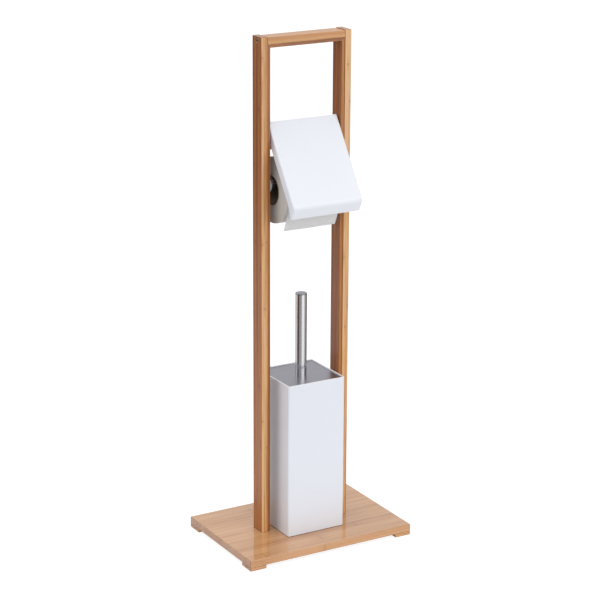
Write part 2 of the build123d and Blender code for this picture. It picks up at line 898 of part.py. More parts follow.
with BuildPart() as lid_nut:
    with BuildSketch(Plane.XY.offset(lid_bottom - nut_height)):
        RegularPolygon(nut_across / 2, 6, major_radius=False)
        Circle(stem_radius, mode=Mode.SUBTRACT)
    extrude(amount=nut_height)
lid_nut.part.label = "lid_nut"
export_step(lid_nut.part, "parts/lid_nut.step")

with BuildPart() as brush_hub:
    with BuildSketch(Plane.XZ):
        with BuildLine():
            Polyline(
                (0, hub_bottom),
                (hub_radius - hub_lead, hub_bottom),
                (hub_radius, hub_bottom + hub_lead),
                (hub_radius, hub_top - hub_taper),
                (stem_radius + hub_collar, hub_top),
                (0, hub_top),
                close=True,
            )
        make_face()
    revolve(axis=Axis.Z)
    with BuildSketch(Plane.XY.offset(hub_top)):
        Circle(stem_radius)
    extrude(amount=-stem_in_hub, mode=Mode.SUBTRACT)
brush_hub.part.label = "brush_hub"
export_step(brush_hub.part, "parts/brush_hub.step")

# The bristles' bulk: a full round brush with a domed lower end.
brush_radius = cup_bottom_size / 2 - cup_wall - brush_gap
bristle_reach = 4.0
bristle_set_down = 14.0
bristle_dome = 16.0
bristle_shoulder = 3.0
bristle_bottom = hub_bottom - bristle_reach
bristle_top = hub_top - bristle_set_down
dome_points = [
    (
        brush_radius - bristle_dome * (1 - sin(radians(turn))),
        bristle_bottom + bristle_dome * (1 - cos(radians(turn))),
    )
    for turn in (0, 30, 60, 90)
]
with BuildPart() as bristles:
    with BuildSketch(Plane.XZ):
        with BuildLine():
            Polyline(
                (0, bristle_bottom),
                *dome_points,
                (brush_radius, bristle_top - bristle_shoulder),
                (brush_radius - bristle_shoulder, bristle_top),
                (0, bristle_top),
                close=True,
            )
        make_face()
    revolve(axis=Axis.Z)
    with BuildSketch(Plane.XY.offset(hub_bottom)):
        Circle(hub_radius)
    extrude(amount=hub_top - hub_bottom, mode=Mode.SUBTRACT)
bristles.part.label = "bristles"
export_step(bristles.part, "parts/bristles.step")

print(f"hinge at y {hinge_y:.3f}, z {hinge_z:.3f}; bar top {bar_top:.2f}; roll axis z {roll_z:.2f}")
print(f"handle top {handle_top:.2f}; roll bottom {roll_z - roll_radius:.2f}; rim {canister_top:.2f}")
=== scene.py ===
# %% [markdown]
# # Toilet roll and brush stand
#
# A bamboo stand with a folded metal cover, a paper roll on a spindle and a
# toilet brush in a square canister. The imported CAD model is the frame: each
# wood, metal and plastic piece keeps its CAD shape and gets a procedural
# material here. Paper, spring and bristles are too soft or too fine for the
# CAD solids, so they are built afresh as meshes. Lengths are metres unless a
# name says mm. The object stands on z = 0 and its front faces -Y.

# %% Load the frame
import math

import bpy
import numpy as np
from mathutils import Matrix, Vector


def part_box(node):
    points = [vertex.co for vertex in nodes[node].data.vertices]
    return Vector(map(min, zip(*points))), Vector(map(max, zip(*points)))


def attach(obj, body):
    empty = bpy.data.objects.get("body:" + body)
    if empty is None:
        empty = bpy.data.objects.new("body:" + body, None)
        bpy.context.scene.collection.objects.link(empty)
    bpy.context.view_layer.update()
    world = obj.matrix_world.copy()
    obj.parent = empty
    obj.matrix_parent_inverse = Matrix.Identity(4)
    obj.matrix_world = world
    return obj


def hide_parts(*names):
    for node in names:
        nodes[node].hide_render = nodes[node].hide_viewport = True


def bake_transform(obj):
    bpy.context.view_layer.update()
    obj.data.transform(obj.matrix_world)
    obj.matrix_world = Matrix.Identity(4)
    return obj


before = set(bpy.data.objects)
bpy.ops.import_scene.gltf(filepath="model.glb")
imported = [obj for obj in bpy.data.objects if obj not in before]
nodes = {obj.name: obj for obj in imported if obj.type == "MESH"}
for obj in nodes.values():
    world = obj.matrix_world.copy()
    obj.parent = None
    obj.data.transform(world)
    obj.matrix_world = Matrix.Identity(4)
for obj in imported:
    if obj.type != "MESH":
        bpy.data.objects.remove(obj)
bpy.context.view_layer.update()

MM = 0.001
rng = np.random.default_rng(7)
print("CAD nodes:", len(nodes))

# %% [markdown]
# ## Colours
#
# Paint and wood charts give colours as sRGB hex, but a shader counts in
# linear light. The colours could be typed in as linear numbers. They are
# kept as hex, because that can be read and picked by eye, and one function
# turns them to linear.

# %% Hex to linear light


def linear(code):
    """sRGB hex such as "C89B6C" to a linear RGBA tuple.

    Each part over 0.04045 is ((c + 0.055) / 1.055) to the power 2.4, and a
    darker one is c / 12.92.
    """
    parts = [int(code[i : i + 2], 16) / 255 for i in (0, 2, 4)]
    return tuple(c / 12.92 if c <= 0.04045 else ((c + 0.055) / 1.055) ** 2.4 for c in parts) + (1,)


def darker(colour, *shares):
    """The colour with its red, green and blue times the shares, or all times one share."""
    shares = shares if len(shares) == 3 else shares * 3
    return tuple(c * share for c, share in zip(colour, shares)) + (1,)


print("Mid grey 808080 is", round(linear("808080")[0], 3), "in linear light")

# %% [markdown]
# ## Adding shader nodes
#
# A material is a small graph. Each node could be made, set and linked in
# four or five lines. One small function does that for any node, so that a
# material reads as the list of its nodes, from the pattern to the shader.

# %% One function for a node

MATH = "ShaderNodeMath"
VECTOR_MATH = "ShaderNodeVectorMath"
NOISE = "ShaderNodeTexNoise"
COMBINE = "ShaderNodeCombineXYZ"
SEPARATE = "ShaderNodeSeparateXYZ"
RANGE = "ShaderNodeMapRange"
MIX = "ShaderNodeMix"
RAMP = "ShaderNodeValToRGB"
PRINCIPLED = "ShaderNodeBsdfPrincipled"
OUTPUT = "ShaderNodeOutputMaterial"
BUMP = "ShaderNodeBump"
SMOOTH = {"interpolation_type": "SMOOTHSTEP"}
COLOURS = {"data_type": "RGBA"}


def add_node(tree, kind, inputs=(), stops=(), **settings):
    """Adds a node with its settings and links, and returns its outputs.

    inputs are values or other nodes' outputs, in order or by the socket's
    name or number. stops are a colour ramp's (place, colour) pairs.
    """
    node = tree.nodes.new(kind)
    for name, setting in settings.items():
        setattr(node, name, setting)
    for key, value in inputs.items() if isinstance(inputs, dict) else enumerate(inputs):
        if isinstance(value, bpy.types.NodeSocket):
            tree.links.new(value, node.inputs[key])
        else:
            node.inputs[key].default_value = value
    for _ in stops[2:]:
        node.color_ramp.elements.new(0.5)
    for number, (place, colour) in enumerate(stops):
        node.color_ramp.elements[number].position = place
        node.color_ramp.elements[number].color = colour
    return node.outputs


def blank_material(name):
    """A material with an empty node tree, and that tree."""
    material = bpy.data.materials.new(name)
    material.use_nodes = True
    material.node_tree.nodes.clear()
    return material, material.node_tree


def place_in_mm(tree):
    """The place on the piece, in millimetres, as one vector."""
    where = add_node(tree, "ShaderNodeTexCoord")["Object"]
    return add_node(tree, VECTOR_MATH, {0: where, "Scale": 1 / MM}, operation="SCALE")[0]


# %% [markdown]
# ## Bamboo: how a lath is cut
#
# A bamboo cane is hollow, so laths are glued up from narrow strips of it,
# and each strip comes from another cane. An image of bamboo could be
# wrapped round the lath, but its strips would run wrong round the edges.
# Here the strips are cut in space, like the real glue-up: the same strip
# shows on both faces that meet at an edge. The box of the CAD node gives
# the lath's size, and the strips divide it evenly.

# %% Strips of a lath


def place_on_strip(tree, low, along, mirrored):
    """(u, a, b, half): mm along the lath, mm across it both ways, and its half.

    a and b start at the lath's low corner. A mirrored lath is measured from
    the stand's middle outwards, and half is then -1 on the left, 1 on the
    right, so that the left post can be another cane than the right one.
    """
    place = list(add_node(tree, SEPARATE, [place_in_mm(tree)]))
    half = 1.0
    if mirrored:
        half = add_node(tree, MATH, [place[0]], operation="SIGN")[0]
        place[0] = add_node(tree, MATH, [place[0]], operation="ABSOLUTE")[0]
    a, b = (
        add_node(tree, MATH, (place[axis], low[axis]), operation="SUBTRACT")[0]
        for axis in range(3)
        if axis != along
    )
    return place[along], a, b, half


def strip_chances(tree, a, b, widths, half, seed):
    """Three random numbers from 0 to 1 that stay the same over one strip."""
    cells = []
    for distance, width in zip((a, b), widths):
        share = add_node(tree, MATH, (distance, width), operation="DIVIDE")[0]
        cells.append(add_node(tree, MATH, [share], operation="FLOOR")[0])
    cane = add_node(tree, MATH, (half, 3.3, seed), operation="MULTIPLY_ADD")[0]
    cell = add_node(tree, COMBINE, (*cells, cane))[0]
    chance = add_node(tree, "ShaderNodeTexWhiteNoise", {"Vector": cell}, noise_dimensions="3D")
    return list(add_node(tree, "ShaderNodeSeparateColor", [chance["Color"]]))


# %% [markdown]
# ## Bamboo: colour
#
# Lengthwise, bamboo is made of fibre bundles: dark threads in pale tissue.
# One noise could tint it all, but then a strip looks like pine. Three noises
# of their own length and breadth are added, each far longer than broad: a
# band a few millimetres broad, a slow drift of the cane, and the bundles.
# Real bundles are 0.3 to 0.6 mm broad. They are drawn 1.5 mm broad, so that
# they show in a picture where a pixel is 1.3 mm.

# %% Bamboo colour

BAND_MM = (250, 3.333)
DRIFT_MM = (90.9, 11.11)
FIBRE_MM = (41.67, 1.5385)
ROSY_CANE = linear("F6DCD0")
STRAW_CANE = linear("F2E6B8")


def grain_layers(tree, u, a, b):
    """Band, drift and fibre: noises stretched along the strip."""
    strip = add_node(tree, COMBINE, (u, a, b))[0]
    layers = []
    for (length, breadth), detail, roughness in ((BAND_MM, 1, 0.5), (DRIFT_MM, 3, 0.5), (FIBRE_MM, 5, 0.6)):
        squeeze = (1 / length, 1 / breadth, 1 / breadth)
        scaled = add_node(tree, VECTOR_MATH, (strip, squeeze), operation="MULTIPLY")[0]
        pattern = {"Vector": scaled, "Scale": 1.0, "Detail": detail, "Roughness": roughness}
        layers.append(add_node(tree, NOISE, pattern)[0])
    return layers


def cane_colour(tree, tone, layers, tones, contrast, slope):
    """Depth of colour through a ramp of three tones, then a rosy or straw cast.

    Depth is 0.45 plus each layer's distance from its middle times a weight,
    plus the slope, which makes a post paler towards one end.
    """
    band, drift, fibre = layers
    weights = ((tone, 0.46), (band, 1.5), (drift, 0.75), (fibre, 0.6 + 0.1 / contrast))
    depth = add_node(tree, MATH, (*slope, 0.45), operation="MULTIPLY_ADD")[0]
    for layer, weight in weights:
        offset = add_node(tree, MATH, (layer, 0.5), operation="SUBTRACT")[0]
        depth = add_node(tree, MATH, (offset, weight * contrast, depth), operation="MULTIPLY_ADD")[0]
    stops = list(zip((0.05, 0.48, 0.92), tones))
    colour = add_node(tree, RAMP, [depth], stops=stops)[0]

    ripple = add_node(tree, MATH, (band, 7.0), operation="MULTIPLY")[0]
    ripple = add_node(tree, MATH, [ripple], operation="FRACT")[0]
    ripple = add_node(tree, MATH, (ripple, 0.4), operation="MULTIPLY")[0]
    cast = add_node(tree, MATH, (drift, 0.6, ripple), operation="MULTIPLY_ADD")[0]
    cast = add_node(tree, RANGE, (cast, 0.38, 0.62, 0, 1), **SMOOTH)[0]
    cast = add_node(tree, MIX, {0: cast, 6: ROSY_CANE, 7: STRAW_CANE}, **COLOURS)[2]
    tinted = add_node(tree, MIX, {0: 1.0, 6: cast, 7: colour}, blend_type="MULTIPLY", **COLOURS)[2]
    return add_node(tree, MIX, {0: min(0.75 * contrast, 1), 6: colour, 7: tinted}, **COLOURS)[2]


# %% [markdown]
# ## Bamboo: nodes, glue lines and cut ends
#
# A cane has a node, a ring where a leaf grew, every hand's width or two. In
# a strip it is a thin dark line with a shaded stretch on each side. Rings
# could be placed by hand, one by one. A ring that repeats at a pace of each
# strip's own never lines up with its neighbour's, as in the real glue-up.

# %% Bamboo marks

NODE_APART_MM = 260
NODE_SPREAD_MM = 190
NODE_SHADE_MM = 22
GLUE_LINE_MM = 0.30
BURNT_NODE = linear("7E4A28")


def from_nearest_node(tree, u, pace, fibre):
    """Distance in mm to the strip's nearest node, wavering with the fibres."""
    apart = add_node(tree, MATH, (pace, NODE_SPREAD_MM, NODE_APART_MM), operation="MULTIPLY_ADD")[0]
    turns = add_node(tree, MATH, (u, apart), operation="DIVIDE")[0]
    phase = add_node(tree, MATH, [turns], operation="FRACT")[0]
    phase = add_node(tree, MATH, (phase, 0.5), operation="SUBTRACT")[0]
    distance = add_node(tree, MATH, (phase, apart), operation="MULTIPLY")[0]
    distance = add_node(tree, MATH, [distance], operation="ABSOLUTE")[0]
    waver = add_node(tree, MATH, (fibre, 0.5), operation="SUBTRACT")[0]
    return add_node(tree, MATH, (waver, 4.0, distance), operation="MULTIPLY_ADD")[0]


def mark_nodes(tree, colour, distance, deep, strength):
    """The node's shade and its ring, over the colour."""
    shade = add_node(tree, RANGE, (distance, NODE_SHADE_MM, 1.5, 0, 0.42 * strength), **SMOOTH)[0]
    colour = add_node(tree, MIX, {0: shade, 6: colour, 7: deep}, **COLOURS)[2]
    ring = add_node(tree, RANGE, (distance, 3.0, 0.3, 0, 0.40 * strength), **SMOOTH)[0]
    return add_node(tree, MIX, {0: ring, 6: colour, 7: BURNT_NODE}, **COLOURS)[2]


def mark_glue_lines(tree, colour, a, b, widths, deep):
    """A darker line on each border between strips."""
    for across, width in zip((a, b), widths):
        share = add_node(tree, MATH, (across, width), operation="DIVIDE")[0]
        share = add_node(tree, MATH, [share], operation="FRACT")[0]
        rest = add_node(tree, MATH, (1.0, share), operation="SUBTRACT")[0]
        nearest = add_node(tree, MATH, (share, rest), operation="MINIMUM")[0]
        edge = add_node(tree, MATH, (nearest, width), operation="MULTIPLY")[0]
        line = add_node(tree, RANGE, (edge, GLUE_LINE_MM, 0.05, 0, 0.35), **SMOOTH)[0]
        colour = add_node(tree, MIX, {0: line, 6: colour, 7: deep}, **COLOURS)[2]
    return colour


def mark_ends(tree, colour, u, start, stop):
    """The end grain drinks lacquer, so the last millimetre is dark."""
    from_start = add_node(tree, MATH, (u, start), operation="SUBTRACT")[0]
    from_stop = add_node(tree, MATH, (stop, u), operation="SUBTRACT")[0]
    nearest = add_node(tree, MATH, (from_start, from_stop), operation="MINIMUM")[0]
    dark = add_node(tree, RANGE, (nearest, 1.0, 0.3, 0, 0.55), **SMOOTH)[0]
    return add_node(tree, MIX, {0: dark, 6: colour, 7: BURNT_NODE}, **COLOURS)[2]


# %% [markdown]
# ## Bamboo: the lacquered lath
#
# The stand's laths are sanded and sprayed with clear lacquer. To the eye
# that is a warm colour below and a sharp, colourless reflection above it.
# Low roughness alone would give the reflection, but then the fibres could
# not stay dull. So the wood is rough and a clear coat lies over it. The
# wide faces of a lath show the strips' flat side, whose colour is a little
# deeper, and they are multiplied darker still as painted shade for the
# sides that turn away from the light.

# %% Lacquered bamboo

# The flat side's tone, made darker as painted shade for the wide faces.
FLAT_SIDE_AND_SHADE = linear("B88736")
COAT_ROUGHNESS = 0.05
BUMP_MM = 0.10


def brown_wide_faces(tree, colour, axis, amount):
    """Multiplies the faces that look along an axis by the flat side's deeper tone, made darker as painted
    shade.
    """
    normal = add_node(tree, "ShaderNodeNewGeometry")["Normal"]
    facing = add_node(tree, MATH, [add_node(tree, SEPARATE, [normal])[axis]], operation="ABSOLUTE")[0]
    share = add_node(tree, MATH, (facing, amount), operation="MULTIPLY")[0]
    brown = add_node(tree, MIX, {0: 1.0, 6: colour, 7: FLAT_SIDE_AND_SHADE}, blend_type="MULTIPLY", **COLOURS)[2]
    return add_node(tree, MIX, {0: share, 6: colour, 7: brown}, **COLOURS)[2]


def lacquered_bamboo(name, like, along, strips, tones, seed, **look):
    """Bamboo for laths like one node, cut in strips that run along an axis.

    strips says into how many the other two axes are cut. look may say
    contrast, coat, coat_ior, mirrored, lean (how much paler one end is), and
    wide with brown: the axis that the wide faces look along, and
    how much deeper in tone and darker in painted shade they are.
    """
    contrast = look.get("contrast", 1.0)
    low, high = (np.array(corner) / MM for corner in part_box(like))
    across = [axis for axis in range(3) if axis != along]
    widths = [float(high[axis] - low[axis]) / count for axis, count in zip(across, strips)]
    start, stop = float(low[along]), float(high[along])

    material, tree = blank_material(name)
    u, a, b, half = place_on_strip(tree, low.tolist(), along, look.get("mirrored", False))
    tone, shift, pace = strip_chances(tree, a, b, widths, half, seed)
    shift = add_node(tree, MATH, (shift, half), operation="ADD")[0]
    cane_u = add_node(tree, MATH, (shift, 900.0, u), operation="MULTIPLY_ADD")[0]
    layers = grain_layers(tree, cane_u, a, b)
    lean = look.get("lean", 0.0)
    middle = (start + stop) / 2
    from_middle = add_node(tree, MATH, (middle, u), operation="SUBTRACT")[0]
    leaning = add_node(tree, MATH, (from_middle, lean / (stop - start)), operation="MULTIPLY")[0]
    colour = cane_colour(tree, tone, layers, tones, contrast, (leaning, half))
    distance = from_nearest_node(tree, cane_u, pace, layers[2])
    colour = mark_nodes(tree, colour, distance, tones[2], min(contrast, 1.0))
    colour = mark_glue_lines(tree, colour, a, b, widths, tones[2])
    colour = mark_ends(tree, colour, u, start, stop)
    # The wide faces get painted shade on top of their deeper tone.
    if "wide" in look:
        colour = brown_wide_faces(tree, colour, look["wide"], look["brown"])

    ridge = add_node(tree, RANGE, (distance, 3.0, 0.0, 0, 0.6), **SMOOTH)[0]
    height = add_node(tree, MATH, (layers[2], ridge), operation="ADD")[0]
    relief = add_node(tree, BUMP, {"Height": height, "Distance": BUMP_MM * MM})[0]
    dull = add_node(tree, RANGE, (layers[2], 0.3, 0.7, 0.38, 0.5), **SMOOTH)[0]
    finish = {
        "Base Color": colour,
        "Roughness": dull,
        "Specular IOR Level": 0.35,
        "Coat Weight": look.get("coat", 0.5),
        "Coat IOR": look.get("coat_ior", 1.5),
        "Coat Roughness": COAT_ROUGHNESS,
        "Normal": relief,
    }
    add_node(tree, OUTPUT, {"Surface": add_node(tree, PRINCIPLED, finish)[0]})
    return material


# %% [markdown]
# ## Bamboo: the laths of this stand
#
# Posts and board are honey bamboo, the liners inside the portal are darker,
# and the rail and cross bar lie between. The liners' darker tone is partly
# a steamed cane and partly painted shade for the recess they sit in behind
# the fronts. One material could serve all. Each kind of lath has its own
# here, because its strips run another way and are cut to another width.

# %% Bamboo materials

honey = [linear(code) for code in ("FADFBE", "ECC498", "C48E58")]
sand = [linear(code) for code in ("F2CDA2", "E0B080", "BC8450")]
amber = [linear(code) for code in ("E8BE8C", "D9A46D", "B47A42")]
# Liner tones: partly a darker, steamed cane and partly painted shade of their recess.
russet_and_recess_shade = [linear(code) for code in ("CC9456", "B4763A", "8E5424")]
X, Z = 0, 2

bamboo_post = lacquered_bamboo(
    "Lacquered bamboo, posts", "right_post", Z, (3, 5), honey, 5,
    wide=X, brown=0.9, coat=0.35, contrast=1.7, lean=0.7, mirrored=True,
)
bamboo_liner = lacquered_bamboo(
    "Lacquered bamboo, side liners", "right_liner", Z, (1, 4), russet_and_recess_shade, 11,
    wide=X, brown=0.45, coat=0.3, mirrored=True,
)
bamboo_rail = lacquered_bamboo("Lacquered bamboo, rail", "top_rail", X, (5, 2), amber, 17)
bamboo_top_liner = lacquered_bamboo("Lacquered bamboo, top liner", "top_liner", X, (4, 1), russet_and_recess_shade, 23)
bamboo_bar = lacquered_bamboo("Lacquered bamboo, cross bar", "cross_bar", X, (2, 5), amber, 31)
# The board was sprayed thickest: it mirrors the posts like a table top.
bamboo_board = lacquered_bamboo(
    "Lacquered bamboo, base board", "base_board", X, (11, 1), sand, 29,
    coat=1.0, coat_ior=1.75, contrast=0.7,
)
bamboo_dowel = lacquered_bamboo("Bamboo, dowels", "bar_dowels", X, (2, 2), honey, 41)
board_low, board_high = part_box("base_board")
print("Board strips:", round((board_high[1] - board_low[1]) / 11 / MM, 1), "mm wide")

# %% [markdown]
# ## White powder coat
#
# Cover and canister are sheet steel, sprayed with powder and baked. The
# powder melts into a satin white skin with a faint orange peel, crests 1 to
# 3 mm apart. An image of that skin would show its tiles. A noise never
# repeats, so it makes the peel. The canister's top edge is mixed towards
# white as a painted highlight, and its lowest millimetre towards dark as
# painted shade where it meets the board.

# %% Powder coat

PEEL_MM = 2.857
# Painted highlight for the canister's top edge, painted shade for its foot.
PAINTED_RIM_HIGHLIGHT = linear("FDFDFE")
PAINTED_FOOT_SHADE = linear("6A4A3C")


def powder_coat(name, colour, roughness, like=None):
    """Baked powder: one noise tints it by 1.5% and raises it by 4 micrometres.

    like is a node whose top edge gets a painted highlight and whose lowest
    millimetre gets a painted shade.
    """
    material, tree = blank_material(name)
    where = place_in_mm(tree)
    peel = add_node(tree, NOISE, {"Vector": where, "Scale": 1 / PEEL_MM, "Detail": 1.0})[0]
    tint = add_node(tree, MIX, {0: peel, 6: colour, 7: darker(colour, 0.985)}, **COLOURS)[2]
    if like:
        foot, rim = (corner[2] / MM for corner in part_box(like))
        height = add_node(tree, SEPARATE, [where])[2]
        # Painted highlight: the top 0.9 mm turns white where light catches the rim.
        thick = add_node(tree, RANGE, (height, rim - 0.9, rim - 0.2, 0, 1), **SMOOTH)[0]
        tint = add_node(tree, MIX, {0: thick, 6: tint, 7: PAINTED_RIM_HIGHLIGHT}, **COLOURS)[2]
        # Painted shade: the lowest millimetre turns dark where the canister meets the board.
        painted_foot_shade_mask = add_node(tree, RANGE, (height, foot + 1.0, foot + 0.7, 0, 1), **SMOOTH)[0]
        tint = add_node(tree, MIX, {0: painted_foot_shade_mask, 6: tint, 7: PAINTED_FOOT_SHADE}, **COLOURS)[2]
    finish = {
        "Base Color": tint,
        "Roughness": roughness,
        "Coat Weight": 0.25,
        "Coat Roughness": 0.4 * roughness,
        "Normal": add_node(tree, BUMP, {"Height": peel, "Distance": 0.004 * MM})[0],
    }
    add_node(tree, OUTPUT, {"Surface": add_node(tree, PRINCIPLED, finish)[0]})
    return material


coat_cover = powder_coat("Powder-coated steel, cover", linear("F0F3F9"), 0.40)
coat_canister = powder_coat("Powder-coated steel, canister", linear("E7EBF2"), 0.26, like="canister")
print("Peel:", PEEL_MM, "mm from crest to crest")

# %% [markdown]
# ## Brushed steel and zinc
#
# The handle and the lid are stainless steel, brushed with a fine belt. That
# leaves scratches in one direction, so a highlight is drawn out into a
# band. The shader's anisotropy could do it, but from this far away tone and
# gloss carry it as well. Real scratches are 0.02 to 0.1 mm wide. They are
# drawn 0.35 mm wide, so that they show. Screws and spring are zinc-plated.

# %% Brushed metal

STREAK_MM = 0.35
STROKE_MM = 50
SMUDGE_MM = 33.33


def brushed_metal(name, colour, along, roughness, contrast=0.08):
    """Metal with a noise drawn out along one axis, for tone, gloss and height.

    Broad smudges, as hands leave them, add up to 0.04 to the roughness.
    """
    material, tree = blank_material(name)
    where = place_in_mm(tree)
    squeeze = [1 / STREAK_MM] * 3
    squeeze[along] = 1 / STROKE_MM
    drawn_out = add_node(tree, VECTOR_MATH, (where, squeeze), operation="MULTIPLY")[0]
    scratches = {"Vector": drawn_out, "Scale": 1.0, "Detail": 4.0, "Roughness": 0.6}
    streak = add_node(tree, NOISE, scratches)[0]
    smudge = add_node(tree, NOISE, {"Vector": where, "Scale": 1 / SMUDGE_MM, "Detail": 2.0})[0]
    bright = add_node(tree, RANGE, (streak, 0.35, 0.65, 0, 1), **SMOOTH)[0]
    tint = add_node(tree, MIX, {0: bright, 6: darker(colour, 1 - contrast), 7: colour}, **COLOURS)[2]
    dull = add_node(tree, RANGE, (streak, 0.3, 0.7, roughness - 0.03, roughness + 0.05), **SMOOTH)[0]
    dull = add_node(tree, MATH, (smudge, 0.04, dull), operation="MULTIPLY_ADD")[0]
    finish = {
        "Base Color": tint,
        "Metallic": 1.0,
        "Roughness": dull,
        "Normal": add_node(tree, BUMP, {"Height": streak, "Distance": 0.006 * MM})[0],
    }
    add_node(tree, OUTPUT, {"Surface": add_node(tree, PRINCIPLED, finish)[0]})
    return material


Y = 1
# The lid and cap get a darker grey than stainless steel has: painted shade on their upward faces.
lid_grey_painted_shade = linear("A5A5AB")
steel_handle = brushed_metal("Brushed stainless steel, handle", linear("DDDDDF"), Z, 0.12)
steel_lid = brushed_metal("Brushed stainless steel, lid", lid_grey_painted_shade, X, 0.26, contrast=0.05)
steel_cap = brushed_metal("Satin stainless steel, cap", lid_grey_painted_shade, X, 0.25)
steel_stem = brushed_metal("Drawn stainless steel, stem", linear("CFCFD2"), Z, 0.3)
zinc = brushed_metal("Zinc-plated steel, screws and spring", linear("B9B9BC"), Y, 0.3)
steel_spindle = brushed_metal("Chrome-plated steel, spindle tubes", linear("8C8C8E"), X, 0.24)
print("Scratches:", STREAK_MM, "mm wide,", STROKE_MM, "mm long")

# %% [markdown]
# ## Moulded plastic
#
# The spindle's ends and the cup are injection-moulded, and the washers are
# nylon. The mould was eroded by sparks, which leaves a fine matt grain, and
# the plastic cools unevenly, which leaves clouds in its gloss. Two noises
# of these two sizes are enough, because little of the plastic is seen.

# %% Moulded plastic

CLOUD_MM = 20


def moulded_plastic(name, colour, roughness, grain_mm=0.6):
    """Plastic with a grain for height, and clouds 20 mm wide for tone and gloss."""
    material, tree = blank_material(name)
    where = place_in_mm(tree)
    grain = add_node(tree, NOISE, {"Vector": where, "Scale": 1 / grain_mm, "Detail": 2.0})[0]
    cloud = add_node(tree, NOISE, {"Vector": where, "Scale": 1 / CLOUD_MM, "Detail": 2.0})[0]
    finish = {
        "Base Color": add_node(tree, MIX, {0: cloud, 6: colour, 7: darker(colour, 0.95)}, **COLOURS)[2],
        "Roughness": add_node(tree, RANGE, (cloud, 0.3, 0.7, roughness, roughness + 0.08), **SMOOTH)[0],
        "Normal": add_node(tree, BUMP, {"Height": grain, "Distance": 0.01 * MM})[0],
    }
    add_node(tree, OUTPUT, {"Surface": add_node(tree, PRINCIPLED, finish)[0]})
    return material


nylon_white = linear("ECECE8")
plastic_grey = moulded_plastic("Moulded ABS, spindle ends", linear("C9C9CB"), 0.3)
plastic_white = moulded_plastic("Moulded polypropylene, cup and hub", linear("E9E9E8"), 0.4)
nylon = moulded_plastic("Moulded nylon, washers and insert", nylon_white, 0.5)
nylon_strand = moulded_plastic("Drawn nylon, bristles", nylon_white, 0.45, grain_mm=0.3)
print("Mould grain: 0.6 mm")

# %% [markdown]
# ## Tissue
#
# Toilet tissue is creped on a hot drum and embossed between rollers, which
# leaves small dimples in staggered rows. It has no gloss at all. A single
# sheet lets light through, and a whole roll doesn't. Modelled dimples would
# need millions of faces. A cell pattern that is hardly jittered gives them
# to the light by bump alone. The crepe's real folds are 0.1 to 0.3 mm wide.
# They are drawn 0.45 mm wide, so that they show.

# %% Embossed tissue

DIMPLE_MM = 2.778
CREPE_MM = 0.4545


def embossed_tissue(name, colour, see_through=0.0):
    """Height is 0.8 times the distance to a dimple's middle plus 0.35 times the crepe."""
    material, tree = blank_material(name)
    where = place_in_mm(tree)
    rows = {"Vector": where, "Scale": 1 / DIMPLE_MM, "Randomness": 0.15}
    dimple = add_node(tree, "ShaderNodeTexVoronoi", rows, feature="SMOOTH_F1")["Distance"]
    drawn_out = add_node(tree, VECTOR_MATH, (where, (0.25, 1, 1)), operation="MULTIPLY")[0]
    crepe = add_node(tree, NOISE, {"Vector": drawn_out, "Scale": 1 / CREPE_MM, "Detail": 3.0})[0]
    crepe = add_node(tree, MATH, (crepe, 0.35), operation="MULTIPLY")[0]
    height = add_node(tree, MATH, (dimple, 0.8, crepe), operation="MULTIPLY_ADD")[0]
    raised = add_node(tree, RANGE, (height, 0.2, 0.9, 0, 1), **SMOOTH)[0]
    finish = {
        "Base Color": add_node(tree, MIX, {0: raised, 6: darker(colour, 0.93), 7: colour}, **COLOURS)[2],
        "Roughness": 0.92,
        "Specular IOR Level": 0.25,
        "Normal": add_node(tree, BUMP, {"Height": height, "Distance": 0.22 * MM})[0],
    }
    paper = add_node(tree, PRINCIPLED, finish)[0]
    if see_through:
        glow = add_node(tree, "ShaderNodeBsdfTranslucent", {"Color": colour})[0]
        paper = add_node(tree, "ShaderNodeMixShader", (see_through, paper, glow))[0]
    add_node(tree, OUTPUT, {"Surface": paper})
    return material


tissue_roll = embossed_tissue("Embossed tissue, roll", linear("E6E6E4"))
# The loose sheet is the roll's tissue painted lighter: painted light on the hanging sheet.
tissue_sheet_painted_lighter = embossed_tissue("Embossed tissue, loose sheet", linear("F3F3F2"), see_through=0.25)
print("Dimples:", DIMPLE_MM, "mm apart")

# %% [markdown]
# ## Cut tissue and grey board
#
# The roll was sawn off a long log, so its end shows the edges of hundreds of
# layers as rings. Real layers are 0.1 to 0.2 mm thick. Only every few of
# them are drawn, 0.6 mm apart, so that rings show. The core is wound from
# grey board, recycled paper with darker fibres in it.

# %% Cut tissue and grey board

RING_MM = 0.625
FUZZ_MM = 0.7143
FLECK_MM = 0.8333


